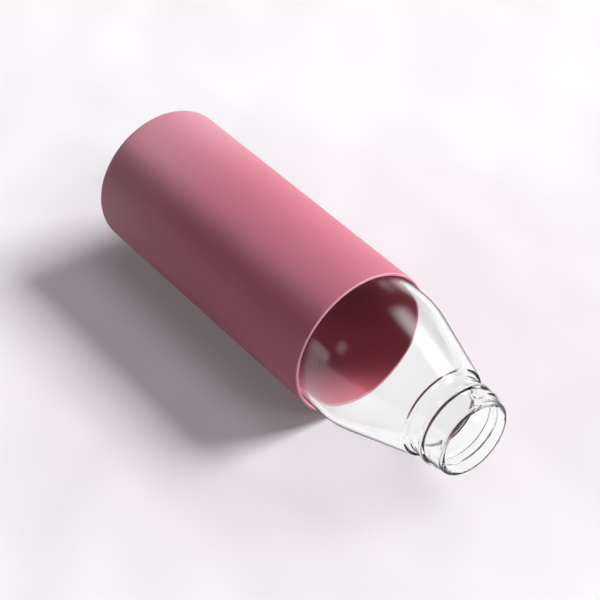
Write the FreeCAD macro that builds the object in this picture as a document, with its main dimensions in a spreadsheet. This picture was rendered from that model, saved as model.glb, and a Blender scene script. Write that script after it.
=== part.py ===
import FreeCAD, Part
import math
import os
import Sketcher

# A glass drinking bottle in a pull-off silicone sleeve, lying on its side.
# Each piece is turned about its own Z axis, base down, and its Placement lays it along +X with the
# mouth at +X, the lowest line of the sleeve at Z = 0 and the middle of its length at X = 0.
# Millimetres and degrees.

doc = FreeCAD.newDocument("GlassBottle")

# Driving dimensions: name, value, meaning.
driving_dimensions = [
    ("bodyDiameter", "66.9", "outside of the glass tube"),
    ("glassHeight", "221.55", "glass from its base to the mouth"),
    ("bodyWall", "2.4", "glass wall of the tube and the cone"),
    ("baseThickness", "6.5", "glass floor, measured at its rim"),
    ("heelBevel", "2.6", "outside bevel at the foot of the glass"),
    ("floorBevel", "5", "inside slope between floor and wall"),
    ("puntDiameter", "48", "pushed-up middle of the base"),
    ("puntFlat", "30", "flat top of the push-up"),
    ("puntDepth", "2.2", "rise of the push-up"),
    ("coneAngle", "17.4", "slope of the neck cone from the axis"),
    ("shoulderRadius", "40", "rounding between tube and cone"),
    ("finishHeight", "19.8", "ledge that the cap meets, to the mouth"),
    ("ledgeDiameter", "43.2", "end of the cone, flush with a fitted cap"),
    ("ledgeBevel", "1.1", "softened edge of the ledge"),
    ("collarDiameter", "40", "raised ring just above the ledge"),
    ("collarHeight", "0.8", "straight part of the raised ring"),
    ("neckDiameter", "38.4", "waist between the ring and the bead"),
    ("beadDiameter", "39.7", "transfer bead, outside"),
    ("beadRadius", "1.2", "rounded crest of the bead"),
    ("beadDrop", "10.9", "crest of the bead, below the mouth"),
    ("landDiameter", "36.2", "wall that carries the cap's thread"),
    ("boreDiameter", "31.5", "clear mouth"),
    ("lipRound", "1.1", "rounding of the drinking lip, outside"),
    ("lipBevel", "0.8", "softened edge of the lip, inside"),
    ("throatHeight", "18.5", "straight bore below the mouth"),
    ("throatFlare", "13.5", "height over which the bore opens out"),
    ("throatRadius", "9", "rounding where the bore opens out"),
    ("shoulderShowing", "14.4", "straight glass between sleeve and cone"),
    ("sleeveWall", "1.3", "silicone wall"),
    ("sleeveFloor", "1.5", "silicone under the glass"),
    ("footRadius", "4.3", "rounded foot of the sleeve"),
    ("rimBevel", "0.4", "softened edge of the sleeve's rim, each side"),
    ("recessDiameter", "50", "hollow in the sleeve's underside"),
    ("recessDepth", "0.6", "depth of that hollow"),
    ("fitClearance", "0.25", "gap between glass and silicone"),
]

# Radii, heights and bends that follow from them. Heights are above the foot of their own piece.
worked_out = [
    ("bodyRadius", "dims.bodyDiameter / 2"),
    ("ledgeRadius", "dims.ledgeDiameter / 2"),
    ("ledgeLevel", "dims.glassHeight - dims.finishHeight"),
    ("coneStart", "ledgeLevel - (bodyRadius - ledgeRadius) / tan(dims.coneAngle * 1 deg)"),
    ("shoulderBend", "dims.shoulderRadius"),
    ("collarOuter", "dims.collarDiameter / 2"),
    ("collarTop", "ledgeLevel + dims.collarHeight"),
    ("neckOuter", "dims.neckDiameter / 2"),
    ("neckStart", "collarTop + collarOuter - neckOuter"),
    ("landOuter", "dims.landDiameter / 2"),
    ("beadBend", "dims.beadRadius"),
    ("beadLevel", "dims.glassHeight - dims.beadDrop"),
    ("beadApex", "dims.beadDiameter / 2 + dims.beadRadius * (sqrt(2) - 1)"),
    ("beadLow", "beadLevel - beadApex + neckOuter"),
    ("beadHigh", "beadLevel + beadApex - landOuter"),
    ("mouthLevel", "dims.glassHeight"),
    ("boreRadius", "dims.boreDiameter / 2"),
    ("throatLevel", "dims.glassHeight - dims.throatHeight"),
    ("throatBend", "dims.throatRadius"),
    ("flareLevel", "throatLevel - dims.throatFlare"),
    ("flareOuter", "bodyRadius - (flareLevel - coneStart) * tan(dims.coneAngle * 1 deg)"),
    ("flareInner", "flareOuter - dims.bodyWall / cos(dims.coneAngle * 1 deg)"),
    ("cavityRadius", "bodyRadius - dims.bodyWall"),
    ("cavityConeStart", "coneStart - dims.bodyWall * tan(dims.coneAngle * 0.5 deg)"),
    ("cavityBend", "dims.shoulderRadius - dims.bodyWall"),
    ("cavityFloor", "dims.baseThickness"),
    ("puntRadius", "dims.puntDiameter / 2"),
    ("puntFlatRadius", "dims.puntFlat / 2"),
    ("puntTop", "dims.puntDepth"),
    ("glassFoot", "dims.sleeveFloor + dims.fitClearance"),
    ("overallLength", "glassFoot + dims.glassHeight"),
    ("sleeveBore", "bodyRadius + dims.fitClearance"),
    ("sleeveRadius", "sleeveBore + dims.sleeveWall"),
    ("sleeveFloorTop", "dims.sleeveFloor"),
    ("sleeveRim", "glassFoot + coneStart - dims.shoulderShowing"),
    ("recessRadius", "dims.recessDiameter / 2"),
    ("recessTop", "dims.recessDepth"),
]


def fill_sheet(label, rows):
    """Make a sheet with a name, a value or formula, and a meaning in each row."""
    sheet = doc.addObject("Spreadsheet::Sheet", label)
    for number, (name, content, meaning) in enumerate(rows, start=1):
        sheet.set("A%d" % number, name)
        sheet.set("B%d" % number, content)
        sheet.set("C%d" % number, meaning)
        sheet.setAlias("B%d" % number, name)
    doc.recompute()
    return sheet


dims = fill_sheet("dims", driving_dimensions)
layout = fill_sheet("layout", [(name, "=" + formula, "") for name, formula in worked_out])


def size(name):
    """Present value of a worked-out size; no name stands for zero, the axis or the foot."""
    return float(layout.get(name)) if name else 0.0


def new_body(label):
    """Start a body that lies along +X at the height of the sleeved bottle's axis."""
    body = doc.addObject("PartDesign::Body", label)
    body.Label = label
    lay_down = FreeCAD.Rotation(FreeCAD.Vector(0, 1, 0), 90)
    body.Placement = FreeCAD.Placement(FreeCAD.Vector(0, 0, 0), lay_down)
    body.setExpression("Placement.Base.z", "layout.sleeveRadius")
    return body


def upright_sketch(body, name):
    """Start a sketch on the body's XZ plane: sketch X is the radius, sketch Y the height."""
    sketch = body.newObject("Sketcher::SketchObject", name)
    planes = {feature.Role: feature for feature in body.Origin.OriginFeatures}
    sketch.AttachmentSupport = [(planes["XZ_Plane"], "")]
    sketch.MapMode = "FlatFace"
    return sketch


def hold(sketch, kind, elements, name):
    """Add a dimension to a sketch and tie it to a worked-out size."""
    place = sketch.addConstraint(Sketcher.Constraint(kind, *elements, size(name)))
    sketch.setExpression("Constraints[%d]" % place, "layout." + name)


def hold_point(sketch, item, end, radius_name, level_name):
    """Hold one point at a radius and a height; no name puts it on that axis."""
    origin, foot_line, turning_axis = (-1, 1), -1, -2
    if radius_name:
        hold(sketch, "DistanceX", (*origin, item, end), radius_name)
    else:
        sketch.addConstraint(Sketcher.Constraint("PointOnObject", item, end, turning_axis))
    if level_name:
        hold(sketch, "DistanceY", (*origin, item, end), level_name)
    else:
        sketch.addConstraint(Sketcher.Constraint("PointOnObject", item, end, foot_line))


def arc_in_corner(before, here, after, radius):
    """Arc tangent to both sides of a corner, where it leaves and meets them, and its turn."""
    back = (before - here).normalize()
    ahead = (after - here).normalize()
    half = back.getAngle(ahead) / 2
    leave = here + back * (radius / math.tan(half))
    meet = here + ahead * (radius / math.tan(half))
    centre = here + (back + ahead).normalize() * (radius / math.sin(half))
    turns_left = back.cross(ahead).z < 0
    first, last = (leave, meet) if turns_left else (meet, leave)
    start = math.atan2(first.y - centre.y, first.x - centre.x)
    stop = math.atan2(last.y - centre.y, last.x - centre.x)
    if stop < start:
        stop += 2 * math.pi
    circle = Part.Circle(centre, FreeCAD.Vector(0, 0, 1), radius)
    return Part.ArcOfCircle(circle, start, stop), leave, meet, turns_left


def outline(body, name, corners):
    """Draw a closed outline, counterclockwise, through (radius, level) corners.
    A corner with a third name is replaced by an arc of that radius."""
    sketch = upright_sketch(body, name)
    points = [FreeCAD.Vector(size(corner[0]), size(corner[1]), 0) for corner in corners]
    count = len(points)
    starts = points[:]
    stops = points[1:] + points[:1]
    arcs = {}
    for index, corner in enumerate(corners):
        if len(corner) == 3:
            sides = (points[index - 1], points[index], points[(index + 1) % count])
            arc, leave, meet, turns_left = arc_in_corner(*sides, size(corner[2]))
            arcs[index] = (arc, turns_left)
            stops[index - 1] = leave
            starts[index] = meet
    for start, stop in zip(starts, stops):
        sketch.addGeometry(Part.LineSegment(start, stop), False)
    for index, corner in enumerate(corners):
        line_in = (index - 1) % count
        line_out = index
        if index not in arcs:
            sketch.addConstraint(Sketcher.Constraint("Coincident", line_in, 2, line_out, 1))
            hold_point(sketch, line_out, 1, corner[0], corner[1])
            continue
        arc, turns_left = arcs[index]
        first_end, last_end = (1, 2) if turns_left else (2, 1)
        curve = sketch.addGeometry(arc, False)
        sketch.addConstraint(Sketcher.Constraint("Tangent", line_in, 2, curve, first_end))
        sketch.addConstraint(Sketcher.Constraint("Tangent", curve, last_end, line_out, 1))
        hold(sketch, "Radius", (curve,), corner[2])
        meeting = sketch.addGeometry(Part.Point(points[index]), True)
        sketch.addConstraint(Sketcher.Constraint("PointOnObject", meeting, 1, line_in))
        sketch.addConstraint(Sketcher.Constraint("PointOnObject", meeting, 1, line_out))
        hold_point(sketch, meeting, 1, corner[0], corner[1])
    doc.recompute()
    return sketch


def turn(body, kind, name, sketch):
    """Turn a sketch round the body's axis: kind is Revolution to add or Groove to cut."""
    before = body.Shape.Volume if body.Tip else 0
    feature = body.newObject("PartDesign::" + kind, name)
    feature.Profile = sketch
    feature.ReferenceAxis = (sketch, ["V_Axis"])
    feature.Angle = 360
    doc.recompute()
    grew = body.Shape.Volume > before
    if grew != (kind == "Revolution"):
        raise ValueError("%s changed the volume the wrong way" % name)


def ring_edges(feature, rings):
    """Names of the circular edges that lie at the given radii and heights."""
    names = []
    for number, edge in enumerate(feature.Shape.Edges, start=1):
        if edge.Degenerated or not isinstance(edge.Curve, Part.Circle):
            continue
        for radius_name, level_name in rings:
            same_radius = math.isclose(edge.Curve.Radius, size(radius_name), abs_tol=1e-4)
            same_level = math.isclose(edge.Curve.Center.z, size(level_name), abs_tol=1e-4)
            if same_radius and same_level:
                names.append("Edge%d" % number)
    if len(names) != len(rings):
        raise ValueError("%s: found %d of %d edges" % (feature.Name, len(names), len(rings)))
    return names


def soften(body, kind, name, rings, formula):
    """Round (Fillet) or bevel (Chamfer) the circular edges at the given radii and heights."""
    base = body.Tip
    feature = body.newObject("PartDesign::" + kind, name)
    feature.Base = (base, ring_edges(base, rings))
    feature.setExpression("Radius" if kind == "Fillet" else "Size", formula)
    doc.recompute()


def glass_bottle():
    """One piece of glass: tube, cone, ledge for the cap, finish, lip, bore and pushed-up base."""
    body = new_body("glass_bottle")
    body.setExpression("Placement.Base.x", "layout.glassFoot - layout.overallLength / 2")
    turn(body, "Revolution", "blank", outline(body, "outside", [
        (None, None),
        ("bodyRadius", None),
        ("bodyRadius", "coneStart", "shoulderBend"),
        ("ledgeRadius", "ledgeLevel"),
        ("collarOuter", "ledgeLevel"),
        ("collarOuter", "collarTop"),
        ("neckOuter", "neckStart"),
        ("neckOuter", "beadLow"),
        ("beadApex", "beadLevel", "beadBend"),
        ("landOuter", "beadHigh"),
        ("landOuter", "mouthLevel"),
        (None, "mouthLevel"),
    ]))
    turn(body, "Groove", "cavity", outline(body, "inside", [
        (None, "cavityFloor"),
        ("cavityRadius", "cavityFloor"),
        ("cavityRadius", "cavityConeStart", "cavityBend"),
        ("flareInner", "flareLevel"),
        ("boreRadius", "throatLevel", "throatBend"),
        ("boreRadius", "mouthLevel"),
        (None, "mouthLevel"),
    ]))
    turn(body, "Groove", "punt", outline(body, "pushUp", [
        (None, None),
        ("puntRadius", None),
        ("puntFlatRadius", "puntTop"),
        (None, "puntTop"),
    ]))
    lip_limit = "(layout.landOuter - layout.boreRadius) * 0.48"
    soften(body, "Fillet", "lip", [("landOuter", "mouthLevel")],
           "min(dims.lipRound; %s)" % lip_limit)
    soften(body, "Chamfer", "mouthEdge", [("boreRadius", "mouthLevel")],
           "min(dims.lipBevel; %s)" % lip_limit)
    soften(body, "Chamfer", "ledgeEdge", [("ledgeRadius", "ledgeLevel")], "dims.ledgeBevel")
    soften(body, "Chamfer", "heel", [("bodyRadius", None)], "dims.heelBevel")
    soften(body, "Chamfer", "floorEdge", [("cavityRadius", "cavityFloor")], "dims.floorBevel")
    return body


def silicone_sleeve():
    """One moulded cover: wall, rounded foot, and a floor under the glass that stands on a ring."""
    body = new_body("silicone_sleeve")
    body.setExpression("Placement.Base.x", "-layout.overallLength / 2")
    turn(body, "Revolution", "blank", outline(body, "outside", [
        (None, None),
        ("sleeveRadius", None),
        ("sleeveRadius", "sleeveRim"),
        (None, "sleeveRim"),
    ]))
    turn(body, "Groove", "pocket", outline(body, "inside", [
        (None, "sleeveFloorTop"),
        ("sleeveBore", "sleeveFloorTop"),
        ("sleeveBore", "sleeveRim"),
        (None, "sleeveRim"),
    ]))
    turn(body, "Groove", "recess", outline(body, "underside", [
        (None, None),
        ("recessRadius", None),
        ("recessRadius", "recessTop"),
        (None, "recessTop"),
    ]))
    rim = [("sleeveRadius", "sleeveRim"), ("sleeveBore", "sleeveRim")]
    soften(body, "Fillet", "foot", [("sleeveRadius", None)], "dims.footRadius")
    soften(body, "Chamfer", "rim", rim, "min(dims.rimBevel; dims.sleeveWall * 0.48)")
    # The bevel inside the foot runs parallel to the heel's, one clearance away from it.
    soften(body, "Chamfer", "insideFoot", [("sleeveBore", "sleeveFloorTop")],
           "dims.heelBevel + dims.fitClearance * (2 - sqrt(2))")
    return body


def check_and_write(bodies):
    """Refuse a failed feature or a bad solid, then write one STEP file for each piece."""
    doc.recompute()
    for item in doc.Objects:
        if "Invalid" in item.State or "Error" in item.State:
            raise ValueError("%s failed" % item.Label)
    for body in bodies:
        shape = body.Shape
        if shape.isNull() or not shape.isValid() or len(shape.Solids) != 1:
            raise ValueError("%s is not one valid solid" % body.Label)
    os.makedirs("parts", exist_ok=True)
    for body in bodies:
        body.Shape.exportStep("parts/%s.step" % body.Label)
        print("%s: %.1f cm3" % (body.Label, body.Shape.Volume / 1000))


check_and_write([glass_bottle(), silicone_sleeve()])
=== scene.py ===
# Clear glass water bottle in a rose silicone sleeve, lying on a white cloth
import math
import bpy
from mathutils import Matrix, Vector, noise


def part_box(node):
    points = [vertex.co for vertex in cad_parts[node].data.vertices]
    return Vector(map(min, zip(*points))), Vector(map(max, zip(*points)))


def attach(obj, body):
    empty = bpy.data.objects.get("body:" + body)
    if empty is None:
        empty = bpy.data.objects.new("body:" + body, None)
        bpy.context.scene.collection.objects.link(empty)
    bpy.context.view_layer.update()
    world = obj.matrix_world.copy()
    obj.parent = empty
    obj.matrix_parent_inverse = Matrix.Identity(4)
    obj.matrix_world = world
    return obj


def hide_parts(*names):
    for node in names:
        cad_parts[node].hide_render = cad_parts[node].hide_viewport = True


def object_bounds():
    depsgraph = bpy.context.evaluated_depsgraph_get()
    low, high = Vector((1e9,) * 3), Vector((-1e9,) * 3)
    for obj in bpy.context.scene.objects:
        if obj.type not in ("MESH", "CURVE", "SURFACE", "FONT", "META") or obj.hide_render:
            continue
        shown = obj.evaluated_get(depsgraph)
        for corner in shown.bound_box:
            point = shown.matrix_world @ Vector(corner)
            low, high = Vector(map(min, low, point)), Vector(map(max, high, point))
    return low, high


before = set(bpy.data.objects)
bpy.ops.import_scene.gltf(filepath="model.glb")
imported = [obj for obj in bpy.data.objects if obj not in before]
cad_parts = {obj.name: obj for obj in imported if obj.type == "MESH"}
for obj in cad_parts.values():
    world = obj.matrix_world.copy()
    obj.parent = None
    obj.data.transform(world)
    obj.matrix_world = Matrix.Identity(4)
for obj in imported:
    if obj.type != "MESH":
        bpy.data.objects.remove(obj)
cadLow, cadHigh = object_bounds()
print("bottle: frame loaded")

mm = 0.001
nearAxis = 1e-6                # mm; a station this close to the axis is a single point


# An outline is a list of (level, radius, round) corners in mm: level runs along the bottle's
# axis from the piece's foot, and round is the radius of the arc that softens the corner.
def arcAtCorner(before, corner, after, bend, turnPerStep):
    back = (before - corner).normalized()
    ahead = (after - corner).normalized()
    half = back.angle(ahead) / 2
    reach = bend / math.tan(half)
    centre = corner + (back + ahead).normalized() * (bend / math.sin(half))
    first = corner + back * reach - centre
    last = corner + ahead * reach - centre
    turn = math.atan2(first.cross(last), first.dot(last))
    steps = max(2, math.ceil(abs(turn) / math.radians(turnPerStep)))
    points = []
    for step in range(steps + 1):
        c = math.cos(turn * step / steps)
        s = math.sin(turn * step / steps)
        points.append(centre + Vector((first.x * c - first.y * s, first.x * s + first.y * c)))
    return points


def roundedOutline(corners, turnPerStep=7.5):
    spots = [Vector((level, radius)) for level, radius, bend in corners]
    points = [spots[0]]
    for index in range(1, len(corners) - 1):
        bend = corners[index][2]
        if bend > 0:
            points += arcAtCorner(spots[index - 1], spots[index], spots[index + 1], bend, turnPerStep)
        else:
            points.append(spots[index])
    points.append(spots[-1])
    return points


def evenStations(points, spacing):
    # long straight runs get stations no further apart than spacing(place)
    stations = [points[0]]
    for here, there in zip(points, points[1:]):
        count = max(1, math.ceil((there - here).length / spacing(here.lerp(there, 0.5))))
        stations += [here.lerp(there, step / count) for step in range(1, count + 1)]
    return stations


def turnedPiece(name, stations, footX, axisY, axisZ, around, shaped=None):
    # a watertight skin of rings round the X axis, with a point at each end
    verts = []
    rings = []
    for number, spot in enumerate(stations):
        if spot.y < nearAxis:
            rings.append([len(verts)])
            verts.append((footX + spot.x * mm, axisY, axisZ))
            continue
        ring = []
        for step in range(around):
            angle = 2 * math.pi * step / around
            radius = shaped(number, spot, angle) if shaped else spot.y
            ring.append(len(verts))
            verts.append((
                footX + spot.x * mm,
                axisY + radius * mm * math.sin(angle),
                axisZ + radius * mm * math.cos(angle),
            ))
        rings.append(ring)
    faces = []
    for low, high in zip(rings, rings[1:]):
        for step in range(around):
            after = (step + 1) % around
            if len(low) == 1:
                faces.append((low[0], high[step], high[after]))
            elif len(high) == 1:
                faces.append((low[after], low[step], high[0]))
            else:
                faces.append((low[after], low[step], high[step], high[after]))
    mesh = bpy.data.meshes.new(name)
    mesh.from_pydata(verts, [], faces)
    mesh.validate()
    mesh.polygons.foreach_set("use_smooth", [True] * len(mesh.polygons))
    mesh.update()
    piece = bpy.data.objects.new(name, mesh)
    bpy.context.collection.objects.link(piece)
    return piece


def newMaterial(name):
    material = bpy.data.materials.new(name)
    material.use_nodes = True
    material.node_tree.nodes.clear()
    return material, material.node_tree.nodes, material.node_tree.links


def markPoints(piece, name, values):
    mark = piece.data.attributes.new(name, "FLOAT", "POINT")
    mark.data.foreach_set("value", values)


def marked(nodes, name):
    mark = nodes.new("ShaderNodeAttribute")
    mark.attribute_name = name
    return mark.outputs["Fac"]


def noisy(nodes, links, place, scale, detail):
    field = nodes.new("ShaderNodeTexNoise")
    field.inputs["Scale"].default_value = scale
    field.inputs["Detail"].default_value = detail
    links.new(place, field.inputs["Vector"])
    return field.outputs["Fac"]


def bumped(nodes, links, height, strength, distance):
    bump = nodes.new("ShaderNodeBump")
    bump.inputs["Strength"].default_value = strength
    bump.inputs["Distance"].default_value = distance
    links.new(height, bump.inputs["Height"])
    return bump.outputs["Normal"]


def ramp(nodes, links, value, start, end, first=0.0, last=1.0, smooth=True):
    # goes from first to last while the value goes from start to end
    step = nodes.new("ShaderNodeMapRange")
    step.interpolation_type = "SMOOTHSTEP" if smooth else "LINEAR"
    step.inputs["From Min"].default_value = start
    step.inputs["From Max"].default_value = end
    step.inputs["To Min"].default_value = first
    step.inputs["To Max"].default_value = last
    links.new(value, step.inputs["Value"])
    return step.outputs["Result"]


def sums(nodes, links, operation, *values, clamp=False):
    # each value is a number or another node's output
    step = nodes.new("ShaderNodeMath")
    step.operation = operation
    step.use_clamp = clamp
    for place, value in zip(step.inputs, values):
        if isinstance(value, float):
            place.default_value = value
        else:
            links.new(value, place)
    return step.outputs["Value"]


def tones(nodes, links, share, first, second):
    # each tone is a colour or another node's output
    mix = nodes.new("ShaderNodeMix")
    mix.data_type = "RGBA"
    for name, tone in (("A", first), ("B", second)):
        if isinstance(tone, tuple):
            mix.inputs[name].default_value = tone
        else:
            links.new(tone, mix.inputs[name])
    links.new(share, mix.inputs["Factor"])
    return mix.outputs["Result"]


def layered(nodes, links, share, below, above):
    mix = nodes.new("ShaderNodeMixShader")
    links.new(share, mix.inputs["Fac"])
    links.new(below, mix.inputs[1])
    links.new(above, mix.inputs[2])
    return mix.outputs["Shader"]


glass = {
    "height": 221.55,
    "bodyDiameter": 66.9,
    "wall": 2.4,
    "base": 6.5,
    "heelRound": 2.8,
    "floorRound": 9.0,
    "puntRadius": 24.0,
    "puntDepth": 2.2,
    "puntSteps": 9,
    "standRound": 1.5,
    "coneAngle": 17.4,
    "shoulderRound": 40.0,
    "finishHeight": 19.8,
    "ledgeRadius": 21.6,
    "ledgeRound": 0.7,
    "collarRadius": 20.0,
    "collarHeight": 0.8,
    "collarFoot": 0.3,         # the round between ledge and collar
    "collarRound": 0.5,
    "neckRadius": 19.2,
    "neckRound": 0.8,
    "beadRadius": 19.85,
    "beadRise": 1.5,           # its slope starts this far below its middle
    "beadStep": 0.85,          # and its steep face sits this far above it
    "beadLean": 0.15,
    "beadRound": 0.5,
    "beadDrop": 10.9,          # from the mouth down to its middle
    "landRadius": 18.1,
    "landFoot": 0.4,
    "landMargin": 0.5,         # points this far inside its radius still belong to it
    "landStart": 1.0,          # the land starts this far above the bead's middle
    "boreRadius": 15.75,
    "lipRound": 1.5,
    "mouthRound": 0.3,
    "lipWave": 0.05,           # unevenness of the fire-polished lip
    "lipWaveStart": 4.0,       # above the bead's middle
    "lipBends": 5.0,
    "lipLength": 3.0,
    "throatHeight": 18.5,
    "throatFlare": 13.5,
    "throatRound": 9.0,
    "flareRound": 16.0,
    "threadHeight": 1.55,
    "threadHalfWidth": 1.15,
    "threadReach": 1.6,        # half widths from its middle where it has sunk in
    "threadFlank": 6,          # a higher power makes steeper flanks
    "threadPitch": 4.0,
    "threadTurns": 0.65,
    "threadStart": 4.0,        # degrees round from the top towards +Y
    "threadTop": 5.6,          # middle of its first end below the mouth
    "threadFade": 22.0,        # degrees over which its ends sink in
    "wallWave": 0.10,          # unevenness of the blown inner wall
    "skinWave": 0.02,          # and of the moulded outer skin
    "waveBends": 1.6,
    "waveLength": 45.0,
    "waveCalm": 0.25,          # share of it on the finish and in the middle of the base
    "calmBase": 20.0,
    "landSpacing": 0.25,       # rings are this close on the land, where the thread is
    "finishSpacing": 1.2,      # on the rest of the finish, inside and out
    "finishMargin": 2.0,       # which here starts this far below the ledge
    "bodySpacing": 6.0,
    "around": 288,
    "ior": 1.46,
    "tint": (0.998, 1.0, 1.0, 1.0),
    "rippleScale": 55.0,
    "rippleDetail": 1.0,
    "rippleStrength": 0.10,
    "rippleDepth": 0.0004,
    "shadowFace": (0.970, 0.970, 0.974, 1.0),  # light that a wall lets through face on
    "shadowEdge": (0.42, 0.43, 0.45, 1.0),     # and along its edges
    "shadowFrom": 0.55,
    "shadowTo": 0.98,
    "edgeBlend": 0.5,
    "paintedEdgeShade": (0.05, 0.05, 0.06, 1.0),        # painted shade: a dark line where the skin turns out of sight, in place of the dark outline real glass shows
    "edgeFrom": 0.72,
    "edgeTo": 0.93,
    "edgeStrength": 0.85,
    "lipEarly": 0.38,          # how much sooner the painted dark line starts on the thick lip
    "depthTone": (0.50, 0.53, 0.54, 1.0),      # long ways through the glass go dim
    "depthDensity": 3.0,
}


def glassOutline(g):
    body = g["bodyDiameter"] / 2
    slope = math.tan(math.radians(g["coneAngle"]))
    ledge = g["height"] - g["finishHeight"]
    coneStart = ledge - (body - g["ledgeRadius"]) / slope
    bead = g["height"] - g["beadDrop"]
    throat = g["height"] - g["throatHeight"]
    flare = throat - g["throatFlare"]
    flareOuter = body - (flare - coneStart) * slope
    flareInner = flareOuter - g["wall"] / math.cos(math.radians(g["coneAngle"]))
    cavity = body - g["wall"]
    cavityCone = coneStart - g["wall"] * math.tan(math.radians(g["coneAngle"] / 2))
    dome = []
    for step in range(g["puntSteps"]):
        radius = g["puntRadius"] * step / g["puntSteps"]
        dome.append((g["puntDepth"] * (1 - (radius / g["puntRadius"]) ** 2), radius, 0))
    return roundedOutline(dome + [
        (0, g["puntRadius"], g["standRound"]),
        (0, body, g["heelRound"]),
        (coneStart, body, g["shoulderRound"]),
        (ledge, g["ledgeRadius"], g["ledgeRound"]),
        (ledge, g["collarRadius"], g["collarFoot"]),
        (ledge + g["collarHeight"], g["collarRadius"], g["collarRound"]),
        (ledge + g["collarHeight"] + g["collarRadius"] - g["neckRadius"], g["neckRadius"], g["neckRound"]),
        (bead - g["beadRise"], g["neckRadius"], g["neckRound"]),
        (bead - g["beadRise"] / 3, g["beadRadius"], g["neckRound"]),
        (bead + g["beadStep"], g["beadRadius"], g["beadRound"]),
        (bead + g["beadStep"] + g["beadLean"], g["landRadius"], g["landFoot"]),
        (g["height"], g["landRadius"], g["lipRound"]),
        (g["height"], g["boreRadius"], g["mouthRound"]),
        (throat, g["boreRadius"], g["throatRound"]),
        (flare, flareInner, g["flareRound"]),
        (cavityCone, cavity, g["shoulderRound"] - g["wall"]),
        (g["base"], cavity, g["floorRound"]),
        (g["base"], 0, 0),
    ])


def onLand(place):
    # between bead and lip, on the outside
    start = glass["height"] - glass["beadDrop"] + glass["landStart"]
    return place.x > start and place.y > glass["landRadius"] - glass["landMargin"]


def glassSpacing(place):
    if onLand(place):
        return glass["landSpacing"]
    if place.x > glass["height"] - glass["finishHeight"] - glass["finishMargin"]:
        return glass["finishSpacing"]
    return glass["bodySpacing"]


def threadRise(level, angle):
    # height of the thread over the land at this place, the most of the turns that pass it
    rise = 0.0
    travelled = math.degrees(angle) - glass["threadStart"]
    turn = travelled % 360
    while turn < glass["threadTurns"] * 360:
        middle = glass["height"] - glass["threadTop"] - glass["threadPitch"] * turn / 360
        off = abs(level - middle) / glass["threadHalfWidth"]
        if off < glass["threadReach"]:
            fromEnd = min(turn, glass["threadTurns"] * 360 - turn) / glass["threadFade"]
            fade = min(1.0, fromEnd)
            fade = fade * fade * (3 - 2 * fade)
            flank = 1 / (1 + off ** glass["threadFlank"])
            rise = max(rise, glass["threadHeight"] * fade * flank)
        turn += 360
    return rise


def makeGlass():
    low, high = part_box("glass_bottle")
    axisY, axisZ = (low.y + high.y) / 2, (low.z + high.z) / 2
    stations = evenStations(glassOutline(glass), glassSpacing)
    mouth = max(range(len(stations)), key=lambda n: (stations[n].x, stations[n].y))
    finishStart = glass["height"] - glass["finishHeight"]
    lipWaveStart = glass["height"] - glass["beadDrop"] + glass["lipWaveStart"]

    def shaped(number, spot, angle):
        outside = number <= mouth
        bends, length = glass["waveBends"], glass["waveLength"]
        along = Vector((math.sin(angle) * bends, math.cos(angle) * bends, spot.x / length))
        wave = noise.noise(along) * (glass["skinWave"] if outside else glass["wallWave"])
        if spot.x > finishStart or max(spot.x, spot.y) < glass["calmBase"]:
            wave *= glass["waveCalm"]
        # the outer skin only waves inwards, so that it stays inside its box
        radius = spot.y + min(0.0, wave) if outside else spot.y + wave
        if outside and onLand(spot):
            radius += threadRise(spot.x, angle)
        if outside and spot.x > lipWaveStart:
            bends, length = glass["lipBends"], glass["lipLength"]
            close = Vector((math.sin(angle) * bends, math.cos(angle) * bends, spot.x / length))
            radius -= abs(noise.noise(close)) * glass["lipWave"]
        return radius

    piece = turnedPiece("glassBottle", stations, low.x, axisY, axisZ, glass["around"], shaped)
    # the first point is the middle of the base, and rings of points follow it
    rings = [(index - 1) // glass["around"] for index in range(len(piece.data.vertices))]
    markPoints(piece, "outerSkin", [1.0 if ring < mouth else 0.0 for ring in rings])
    lipStart = low.x + (glass["height"] - glass["lipRound"]) * mm
    markPoints(piece, "lipSkin", [1.0 if point.co.x > lipStart else 0.0 for point in piece.data.vertices])
    piece.data.materials.append(clearGlass())
    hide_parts("glass_bottle")
    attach(piece, "bottle")
    print("bottle: glass has", len(piece.data.vertices), "points")
    return piece


def clearGlass():
    material, nodes, links = newMaterial("clearGlass")
    out = nodes.new("ShaderNodeOutputMaterial")
    solid = nodes.new("ShaderNodeBsdfPrincipled")
    solid.inputs["Base Color"].default_value = glass["tint"]
    solid.inputs["Transmission Weight"].default_value = 1.0
    solid.inputs["Roughness"].default_value = 0.0
    solid.inputs["IOR"].default_value = glass["ior"]
    where = nodes.new("ShaderNodeTexCoord")
    ripple = noisy(nodes, links, where.outputs["Object"], glass["rippleScale"], glass["rippleDetail"])
    uneven = bumped(nodes, links, ripple, glass["rippleStrength"], glass["rippleDepth"])
    links.new(uneven, solid.inputs["Normal"])
    # lamps and bounced light pass straight through, dimmer where a wall is seen edge on
    edge = nodes.new("ShaderNodeLayerWeight")
    edge.inputs["Blend"].default_value = glass["edgeBlend"]
    facing = edge.outputs["Facing"]
    edgeOn = ramp(nodes, links, facing, glass["shadowFrom"], glass["shadowTo"])
    passing = nodes.new("ShaderNodeBsdfTransparent")
    through = tones(nodes, links, edgeOn, glass["shadowFace"], glass["shadowEdge"])
    links.new(through, passing.inputs["Color"])
    paths = nodes.new("ShaderNodeLightPath")
    light = sums(nodes, links, "MAXIMUM", paths.outputs["Is Shadow Ray"], paths.outputs["Is Diffuse Ray"])
    # the outer skin gets a painted dark edge, painted shade standing in for refraction
    shadeEdged = paintedDarkEdge(nodes, links, facing, solid.outputs["BSDF"])
    links.new(layered(nodes, links, light, shadeEdged, passing.outputs["BSDF"]), out.inputs["Surface"])
    depth = nodes.new("ShaderNodeVolumeAbsorption")
    depth.inputs["Color"].default_value = glass["depthTone"]
    depth.inputs["Density"].default_value = glass["depthDensity"]
    links.new(depth.outputs["Volume"], out.inputs["Volume"])
    return material


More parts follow.
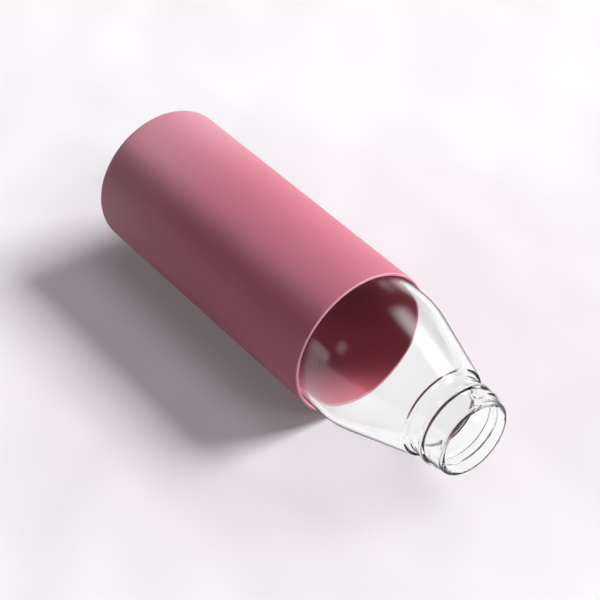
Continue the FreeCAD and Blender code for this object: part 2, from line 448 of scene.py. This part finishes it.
def paintedDarkEdge(nodes, links, facing, solid):
    # painted shade: the skin is painted dark where it turns away, in place of the dark outline clear glass
    # shows before a pale ground
    sooner = sums(nodes, links, "MULTIPLY_ADD", marked(nodes, "lipSkin"), glass["lipEarly"], facing)
    away = ramp(nodes, links, sooner, glass["edgeFrom"], glass["edgeTo"], 0.0, glass["edgeStrength"])
    share = sums(nodes, links, "MULTIPLY", away, marked(nodes, "outerSkin"))
    # only the skin's own front shows the painted line, not its back seen through the glass
    side = nodes.new("ShaderNodeNewGeometry")
    front = sums(nodes, links, "SUBTRACT", share, side.outputs["Backfacing"], clamp=True)
    edgeShade = nodes.new("ShaderNodeBsdfDiffuse")
    edgeShade.inputs["Color"].default_value = glass["paintedEdgeShade"]
    return layered(nodes, links, front, solid, edgeShade.outputs["BSDF"])


sleeve = {
    "outerRadius": 35.0,
    "wall": 1.3,
    "floor": 1.5,
    "footRound": 4.3,
    "rimRound": 0.5,
    "innerFootRound": 2.4,
    "recessRadius": 25.0,
    "recessDepth": 0.6,
    "recessFoot": 0.3,
    "recessRound": 0.5,
    "spacing": 4.0,
    "around": 256,
    "colour": (0.458, 0.139, 0.187, 1.0),
    "colourDeep": (0.428, 0.127, 0.171, 1.0),
    "cloudScale": 28.0,        # size of the soft patches of both tones
    "cloudDetail": 4.0,
    "paintedFootHighlight": (0.475, 0.198, 0.246, 1.0),    # painted highlight: the sleeve fades to this paler tone towards the foot, in place of the haze of light on that end
    "footEnd": -0.108,         # metres along X where that tone is reached
    "footStart": -0.035,
    "paintedRimHighlight": (0.680, 0.300, 0.360, 1.0),     # painted highlight: the thin rim's round is painted paler, where light catches it
    "rimShare": 0.9,           # part of the rim's round that takes this painted highlight
    "paintedInsideGlow": (0.660, 0.112, 0.150, 1.0),  # painted light: the inside is painted redder where its lit side would glow through
    "insideFrom": 0.7,         # share of the floor's thickness where the inside starts
    "smoothest": 0.46,
    "roughest": 0.55,
    "specular": 0.22,
    "sheen": 0.05,
    "sheenRoughness": 0.4,
    "grainScale": 2600.0,
    "grainDetail": 2.0,
    "grainStrength": 0.18,
    "grainDepth": 0.0001,
}


def sleeveOutline(s, height):
    inner = s["outerRadius"] - s["wall"]
    return roundedOutline([
        (s["recessDepth"], 0, 0),
        (s["recessDepth"], s["recessRadius"], s["recessFoot"]),
        (0, s["recessRadius"] + s["recessDepth"], s["recessRound"]),
        (0, s["outerRadius"], s["footRound"]),
        (height, s["outerRadius"], s["rimRound"]),
        (height, inner, s["rimRound"]),
        (s["floor"], inner, s["innerFootRound"]),
        (s["floor"], 0, 0),
    ])


def makeSleeve():
    low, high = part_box("silicone_sleeve")
    axisY, axisZ = (low.y + high.y) / 2, (low.z + high.z) / 2
    outline = sleeveOutline(sleeve, (high.x - low.x) / mm)
    stations = evenStations(outline, lambda place: sleeve["spacing"])
    piece = turnedPiece("siliconeSleeve", stations, low.x, axisY, axisZ, sleeve["around"])
    # painted light: the inner wall is painted to glow most on its +Y side, where the light falls, and not
    # at all on the other
    reach = (sleeve["outerRadius"] - sleeve["wall"] / 2) * mm
    floor = low.x + sleeve["floor"] * sleeve["insideFrom"] * mm
    glow = []
    for point in piece.data.vertices:
        across = Vector((point.co.y - axisY, point.co.z - axisZ))
        inner = point.co.x > floor and across.length < reach
        glow.append(max(0.0, min(1.0, 0.5 + across.x / reach)) if inner else 0.0)
    markPoints(piece, "insideSkin", glow)
    # painted highlight: the rim's round is marked to be painted paler
    bend = high.x - sleeve["rimRound"] * sleeve["rimShare"] * mm
    markPoints(piece, "rimSkin", [1.0 if point.co.x > bend else 0.0 for point in piece.data.vertices])
    piece.data.materials.append(roseSilicone())
    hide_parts("silicone_sleeve")
    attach(piece, "sleeve")
    print("bottle: sleeve has", len(piece.data.vertices), "points")
    return piece


def roseSilicone():
    material, nodes, links = newMaterial("roseSilicone")
    out = nodes.new("ShaderNodeOutputMaterial")
    skin = nodes.new("ShaderNodeBsdfPrincipled")
    links.new(skin.outputs["BSDF"], out.inputs["Surface"])
    where = nodes.new("ShaderNodeTexCoord")
    place = where.outputs["Object"]
    cloudy = noisy(nodes, links, place, sleeve["cloudScale"], sleeve["cloudDetail"])
    tone = tones(nodes, links, cloudy, sleeve["colour"], sleeve["colourDeep"])
    along = nodes.new("ShaderNodeSeparateXYZ")
    links.new(place, along.inputs["Vector"])
    # painted highlight: paler towards the foot, along X
    foot = ramp(nodes, links, along.outputs["X"], sleeve["footEnd"], sleeve["footStart"], 1.0, 0.0)
    tone = tones(nodes, links, foot, tone, sleeve["paintedFootHighlight"])
    # painted light: the inner wall's glow from its lit side
    tone = tones(nodes, links, marked(nodes, "insideSkin"), tone, sleeve["paintedInsideGlow"])
    # painted highlight on the rim's round
    tone = tones(nodes, links, marked(nodes, "rimSkin"), tone, sleeve["paintedRimHighlight"])
    links.new(tone, skin.inputs["Base Color"])
    grain = noisy(nodes, links, place, sleeve["grainScale"], sleeve["grainDetail"])
    grainy = bumped(nodes, links, grain, sleeve["grainStrength"], sleeve["grainDepth"])
    links.new(grainy, skin.inputs["Normal"])
    rough = ramp(nodes, links, cloudy, 0.0, 1.0, sleeve["smoothest"], sleeve["roughest"], smooth=False)
    links.new(rough, skin.inputs["Roughness"])
    skin.inputs["Specular IOR Level"].default_value = sleeve["specular"]
    skin.inputs["Sheen Weight"].default_value = sleeve["sheen"]
    skin.inputs["Sheen Roughness"].default_value = sleeve["sheenRoughness"]
    return material


cloth = {
    "size": 16.0,
    "colour": (0.672, 0.647, 0.668, 1.0),
    "colourSoft": (0.632, 0.610, 0.628, 1.0),
    "softFrom": 0.35,          # share of the folds' noise where the second tone starts
    "softTo": 0.75,
    "colourFar": (0.732, 0.726, 0.732, 1.0),
    "whiterFrom": 0.08,        # metres from the bottle's middle where it starts to whiten
    "whiterTo": 0.22,
    "pale": (0.93, 0.92, 0.93, 1.0),
    "paleBehind": (1.0, 1.0, 1.0, 1.0),    # the same backdrop as the glass shows it
    "paleFrom": 0.45,          # metres from the bottle where the lit cloth starts to even out
    "paleTo": 1.6,
    "glow": 0.115,             # light that seeps through the cloth itself
    "throughGlass": 0.82,      # share of its full paleness that it keeps behind the glass
    "weave": 0.0011,           # metres from thread to thread
    "weaveTone": 0.10,
    "weaveBend": 1.2,
    "weaveBendScale": 0.4,
    "folds": 8.0,
    "foldDetail": 2.0,
    "foldStrength": 0.5,
    "foldDepth": 0.018,
}


def makeCloth():
    half = cloth["size"] / 2
    mesh = bpy.data.meshes.new("cloth")
    corners = [(-half, -half, 0), (half, -half, 0), (half, half, 0), (-half, half, 0)]
    mesh.from_pydata(corners, [], [(0, 1, 2, 3)])
    piece = bpy.data.objects.new("cloth", mesh)
    piece.location.z = cadLow.z
    bpy.context.collection.objects.link(piece)
    piece.data.materials.append(whiteCloth())
    print("bottle: cloth laid")
    return piece


def whiteCloth():
    material, nodes, links = newMaterial("whiteCloth")
    out = nodes.new("ShaderNodeOutputMaterial")
    skin = nodes.new("ShaderNodeBsdfDiffuse")
    where = nodes.new("ShaderNodeTexCoord")
    place = where.outputs["Object"]
    folds = noisy(nodes, links, place, cloth["folds"], cloth["foldDetail"])
    soft = ramp(nodes, links, folds, cloth["softFrom"], cloth["softTo"], smooth=False)
    tone = tones(nodes, links, soft, cloth["colour"], cloth["colourSoft"])
    far = nodes.new("ShaderNodeVectorMath")
    far.operation = "LENGTH"
    links.new(place, far.inputs[0])
    distance = far.outputs["Value"]
    whiter = ramp(nodes, links, distance, cloth["whiterFrom"], cloth["whiterTo"])
    ground = tones(nodes, links, whiter, tone, cloth["colourFar"])
    threads = []
    for way in ("X", "Y"):
        thread = nodes.new("ShaderNodeTexWave")
        thread.bands_direction = way
        # a wave of scale 1 is pi / 10 of a metre long
        thread.inputs["Scale"].default_value = math.pi / 10 / cloth["weave"]
        thread.inputs["Distortion"].default_value = cloth["weaveBend"]
        thread.inputs["Detail Scale"].default_value = cloth["weaveBendScale"]
        links.new(place, thread.inputs["Vector"])
        threads.append(thread.outputs["Fac"])
    weave = sums(nodes, links, "MULTIPLY", *threads)
    # the weave's mean is a quarter, so the cloth's mean tone stays as it is
    shadow = sums(nodes, links, "MULTIPLY_ADD", weave, cloth["weaveTone"], 1 - cloth["weaveTone"] / 4)
    woven = nodes.new("ShaderNodeVectorMath")
    woven.operation = "SCALE"
    links.new(ground, woven.inputs[0])
    links.new(shadow, woven.inputs["Scale"])
    links.new(woven.outputs["Vector"], skin.inputs["Color"])
    links.new(bumped(nodes, links, folds, cloth["foldStrength"], cloth["foldDepth"]), skin.inputs["Normal"])
    # far from the bottle, and behind its glass, the cloth is an even pale backdrop
    paths = nodes.new("ShaderNodeLightPath")
    behind = paths.outputs["Is Transmission Ray"]
    fade = ramp(nodes, links, distance, cloth["paleFrom"], cloth["paleTo"], cloth["glow"])
    share = sums(nodes, links, "MULTIPLY_ADD", behind, cloth["throughGlass"], fade, clamp=True)
    backdrop = nodes.new("ShaderNodeEmission")
    links.new(tones(nodes, links, behind, cloth["pale"], cloth["paleBehind"]), backdrop.inputs["Color"])
    mixed = layered(nodes, links, share, skin.outputs["BSDF"], backdrop.outputs["Emission"])
    links.new(mixed, out.inputs["Surface"])
    return material


# A window's face is parallel to the bottle's axis, unless it is aimed: then it is square to the
# line to the bottle's middle.
windows = {
    "key": {
        "climb": 45.0,         # degrees up from +Y, so that past 90 it is on the -Y side
        "slide": 0.27,         # its middle's shift along +X, as a share of its distance
        "away": 9.0,
        "width": 0.58,         # its size, as a share of its distance
        "height": 0.40,
        "soft": 0.20,          # share of its face over which its edges fade
        "strength": 37.5,      # brightness of its face, where 1 is white
        "lights": True,        # whether it lights the cloth and the sleeve
        "shows": False,        # and whether it is reflected in them and seen in the glass
    },
    "keyGlow": {
        "climb": 47.0,
        "slide": 0.30,
        "away": 5.05,
        "width": 1.25,
        "height": 0.84,
        "soft": 0.50,
        "strength": 13.0,
        "lights": False,
        "shows": True,
    },
    "lowPane": {
        "climb": 172.0,
        "slide": -0.60,
        "away": 5.0,
        "width": 0.42,
        "height": 0.36,
        "soft": 0.25,
        "strength": 1.1,
        "lights": False,
        "shows": True,
    },
    "highPane": {
        "climb": 146.0,
        "slide": -0.27,
        "away": 5.0,
        "width": 0.34,
        "height": 0.44,
        "soft": 0.40,
        "strength": 0.9,
        "lights": False,
        "shows": True,
    },
    "backPane": {
        "climb": 24.0,
        "slide": -1.00,
        "away": 5.0,
        "width": 0.9,
        "height": 0.5,
        "soft": 0.45,
        "strength": 3.0,
        "lights": False,
        "shows": True,
    },
    "ceilingPatch": {
        "climb": 78.0,
        "slide": 0.0,
        "away": 4.0,
        "width": 1.6,
        "height": 0.5,
        "soft": 0.25,
        "strength": 0.95,
        "lights": True,
        "shows": False,
        "tint": (1.0, 0.80, 0.97),
    },
    "footPane": {
        "climb": 105.0,
        "slide": -1.08,
        "aimed": True,
        "away": 0.42,
        "width": 0.6,
        "height": 0.5,
        "soft": 0.5,
        "strength": 36.0,
        "lights": False,
        "shows": True,
        "throughGlass": False,
        "tint": (1.0, 0.92, 0.98),
    },
    "endWindow": {
        "climb": 83.0,
        "slide": 1.15,
        "aimed": True,
        "away": 3.2,
        "width": 0.8,
        "height": 0.8,
        "soft": 0.2,
        "strength": 3.6,
        "lights": True,
        "shows": True,
    },
}


def softFace(face, window):
    # the brightness fades towards the edges of the lamp's face
    face.use_nodes = True
    nodes, links = face.node_tree.nodes, face.node_tree.links
    nodes.clear()
    out = nodes.new("ShaderNodeOutputLight")
    glow = nodes.new("ShaderNodeEmission")
    place = nodes.new("ShaderNodeNewGeometry")
    split = nodes.new("ShaderNodeSeparateXYZ")
    links.new(place.outputs["Parametric"], split.inputs["Vector"])
    # each share is 0 along two edges and 1 in the middle
    shares = []
    for side in ("X", "Y"):
        inwards = sums(nodes, links, "PINGPONG", split.outputs[side], 0.5)
        shares.append(ramp(nodes, links, inwards, 0.0, window["soft"]))
    links.new(sums(nodes, links, "MULTIPLY", *shares), glow.inputs["Strength"])
    links.new(glow.outputs["Emission"], out.inputs["Surface"])


def makeLamps():
    for name, window in windows.items():
        away = window["away"]
        width, height = window["width"] * away, window["height"] * away
        face = bpy.data.lights.new(name, "AREA")
        face.shape = "RECTANGLE"
        face.size = width
        face.size_y = height
        face.energy = window["strength"] * math.pi * width * height
        face.color = window.get("tint", (1.0, 1.0, 1.0))
        softFace(face, window)
        climb = math.radians(window["climb"])
        lamp = bpy.data.objects.new(name, face)
        towards = Vector((window["slide"], math.cos(climb), math.sin(climb)))
        lamp.location = (cadLow + cadHigh) / 2 + towards * away
        facing = Vector((0, math.cos(climb), math.sin(climb)))
        if window.get("aimed", False):
            facing = towards.normalized()
        lamp.rotation_euler = facing.to_track_quat("Z", "Y").to_euler()
        lamp.visible_diffuse = window["lights"]
        lamp.visible_glossy = window["shows"]
        lamp.visible_transmission = window["shows"] and window.get("throughGlass", True)
        lamp.visible_camera = False
        bpy.context.collection.objects.link(lamp)
    print("bottle: lamps hung")


room = {
    "low": (0.86, 0.845, 0.86, 1.0),         # pale far side of the table
    "front": (0.28, 0.27, 0.28, 1.0),        # and the duller side towards -Y
    "sideFrom": -0.5,          # the step from one to the other, along Y in a unit sphere
    "sideTo": 0.3,
    "dark": (0.09, 0.09, 0.10, 1.0),         # unlit walls and ceiling
    "darkFrom": 0.06,          # the step from table to walls, up Z in that sphere
    "darkTo": 0.22,
    "shade": (0.040, 0.028, 0.039, 1.0),     # what walls give as light
    "over": (0.070, 0.049, 0.068, 1.0),      # and what the ceiling gives
    "overFrom": 0.45,
    "overTo": 0.85,
    "backdrop": (0.92, 0.90, 0.912, 1.0),
}


def makeRoom():
    world = bpy.data.worlds.new("room")
    world.use_nodes = True
    nodes, links = world.node_tree.nodes, world.node_tree.links
    nodes.clear()
    out = nodes.new("ShaderNodeOutputWorld")
    where = nodes.new("ShaderNodeTexCoord")
    split = nodes.new("ShaderNodeSeparateXYZ")
    links.new(where.outputs["Generated"], split.inputs["Vector"])
    side, climb = split.outputs["Y"], split.outputs["Z"]
    paths = nodes.new("ShaderNodeLightPath")
    over = ramp(nodes, links, climb, room["overFrom"], room["overTo"])
    given = tones(nodes, links, over, room["shade"], room["over"])
    pale = ramp(nodes, links, side, room["sideFrom"], room["sideTo"])
    table = tones(nodes, links, pale, room["front"], room["low"])
    high = ramp(nodes, links, climb, room["darkFrom"], room["darkTo"])
    seen = tones(nodes, links, high, table, room["dark"])
    inside = tones(nodes, links, paths.outputs["Is Diffuse Ray"], seen, given)
    light = nodes.new("ShaderNodeBackground")
    links.new(inside, light.inputs["Color"])
    backdrop = nodes.new("ShaderNodeBackground")
    backdrop.inputs["Color"].default_value = room["backdrop"]
    straight = paths.outputs["Is Camera Ray"]
    mixed = layered(nodes, links, straight, light.outputs["Background"], backdrop.outputs["Background"])
    links.new(mixed, out.inputs["Surface"])
    bpy.context.scene.world = world
    print("bottle: room painted")


camera = {
    "azimuth": 52.22,
    "elevation": 41.19,
    "distance": 0.8108,
    "aimRight": -0.00186,      # metres that the aim sits right of the bottle's middle
    "aimUp": -0.00184,
    "lens": 111.0,
    "sensor": 36.0,
    "near": 0.01,
}


def makeCamera():
    turn = math.radians(camera["azimuth"])
    climb = math.radians(camera["elevation"])
    towards = Vector((
        math.sin(turn) * math.cos(climb),
        -math.cos(turn) * math.cos(climb),
        math.sin(climb),
    ))
    facing = (-towards).to_track_quat("-Z", "Y")
    right = facing @ Vector((1, 0, 0))
    up = facing @ Vector((0, 1, 0))
    aim = (cadLow + cadHigh) / 2 + right * camera["aimRight"] + up * camera["aimUp"]
    view = bpy.data.cameras.new("camera")
    view.lens = camera["lens"]
    view.sensor_width = camera["sensor"]
    view.clip_start = camera["near"]
    holder = bpy.data.objects.new("camera", view)
    holder.location = aim + towards * camera["distance"]
    holder.rotation_mode = "QUATERNION"
    holder.rotation_quaternion = facing
    bpy.context.collection.objects.link(holder)
    bpy.context.scene.camera = holder
    print("bottle: camera set")


makeGlass()
makeSleeve()
makeCloth()
makeLamps()
makeRoom()
makeCamera()

scene = bpy.context.scene
scene.view_settings.view_transform = "Standard"
scene.cycles.max_bounces = 24
scene.cycles.transmission_bounces = 20
scene.cycles.glossy_bounces = 12
scene.cycles.transparent_max_bounces = 24
scene.cycles.caustics_reflective = False
scene.cycles.caustics_refractive = False
